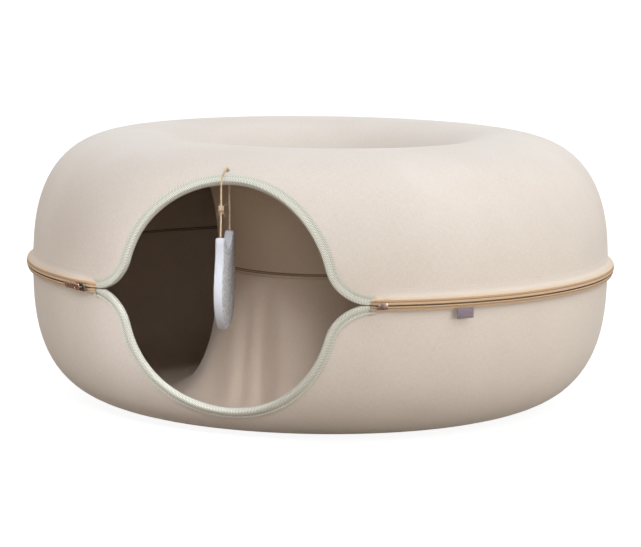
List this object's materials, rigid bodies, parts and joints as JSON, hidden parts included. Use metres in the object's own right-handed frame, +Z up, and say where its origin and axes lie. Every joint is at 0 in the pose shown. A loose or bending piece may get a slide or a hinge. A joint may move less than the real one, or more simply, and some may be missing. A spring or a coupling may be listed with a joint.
{
  "type": "felt ring tunnel for pets",
  "caption": "Ring-shaped felt pet tunnel in two zipped half-shells, with a bound round side opening, an open middle and a felt plaque hung on twine.",
  "frame": {"origin": "on the ring's upright axis, at the height of the floor it stands on", "axes": "+Z up the ring's axis; the bound side opening faces -Y; +X is to the right of someone facing the opening"},
  "size_m": [0.6, 0.5979, 0.272],
  "materials": {
    "shell_felt": "needled wool-look felt, matt, faintly mottled",
    "sage_webbing": "herringbone webbing, matt",
    "camel_tape": "woven zip tape with a tight diagonal",
    "coil_nylon": "nylon coil",
    "antique_metal": "dark antique plating",
    "rose_metal": "rose-gold plating",
    "mauve_ribbon": "plain folded ribbon",
    "jute": "two-ply jute twine",
    "toy_felt": "thick grey-white speckled felt"
  },
  "bodies": {
    "lower_half": {"lower_shell": "shell_felt", "lower_binding": "sage_webbing", "label_tab": "mauve_ribbon", "outer_zip_tape_lower": "camel_tape", "outer_zip_coil_lower": "coil_nylon", "outer_zip_stop_lower": "antique_metal", "outer_zip_retainer_box": "antique_metal", "waist_zip_tape_lower": "camel_tape", "waist_zip_coil_lower": "coil_nylon", "waist_zip_stop_lower": "antique_metal", "waist_zip_retainer_box": "antique_metal"},
    "upper_half": {"upper_shell": "shell_felt", "upper_binding": "sage_webbing", "outer_zip_tape_upper": "camel_tape", "outer_zip_coil_upper": "coil_nylon", "outer_zip_stop_upper": "antique_metal", "outer_zip_insertion_pin": "antique_metal", "waist_zip_tape_upper": "camel_tape", "waist_zip_coil_upper": "coil_nylon", "waist_zip_stop_upper": "antique_metal", "waist_zip_insertion_pin": "antique_metal"},
    "outer_slider": {"outer_zip_slider": "antique_metal"},
    "outer_pull": {"outer_zip_pull": "rose_metal"},
    "waist_slider": {"waist_zip_slider": "antique_metal"},
    "waist_pull": {"waist_zip_pull": "rose_metal"},
    "twine": {"twine_loop": "jute", "twine_knot": "jute"},
    "toy": {"toy_plaque": "toy_felt"}
  },
  "joints": [
    {"name": "upper_half_lift", "type": "slide", "parent": "lower_half", "child": "upper_half", "axis": [0, 0, 1], "range_m": [0, 0.2]},
    {"name": "outer_slider_run", "type": "hinge", "parent": "lower_half", "child": "outer_slider", "pos_m": [0, 0, 0.139], "axis": [0, 0, -1], "range_deg": [0, 297.3]},
    {"name": "outer_pull_flip", "type": "hinge", "parent": "outer_slider", "child": "outer_pull", "pos_m": [-0.15502, -0.26046, 0.139], "axis": [0, 0, 1], "range_deg": [0, 180]},
    {"name": "waist_slider_run", "type": "hinge", "parent": "lower_half", "child": "waist_slider", "pos_m": [0, 0, 0.139], "axis": [0, 0, -1], "range_deg": [0, 333.2]},
    {"name": "waist_pull_flip", "type": "hinge", "parent": "waist_slider", "child": "waist_pull", "pos_m": [0.01805, 0.08858, 0.139], "axis": [0, 0, -1], "range_deg": [0, 165]},
    {"name": "twine_swing", "type": "hinge", "parent": "upper_half", "child": "twine", "pos_m": [-0.00829, -0.24989, 0.25394], "axis": [0, 1, 0], "range_deg": [-25, 25]},
    {"name": "toy_tilt", "type": "hinge", "parent": "twine", "child": "toy", "pos_m": [-0.0083, -0.25648, 0.197], "axis": [-0.2096, 0.9778, 0], "range_deg": [-22, 22]}
  ]
}
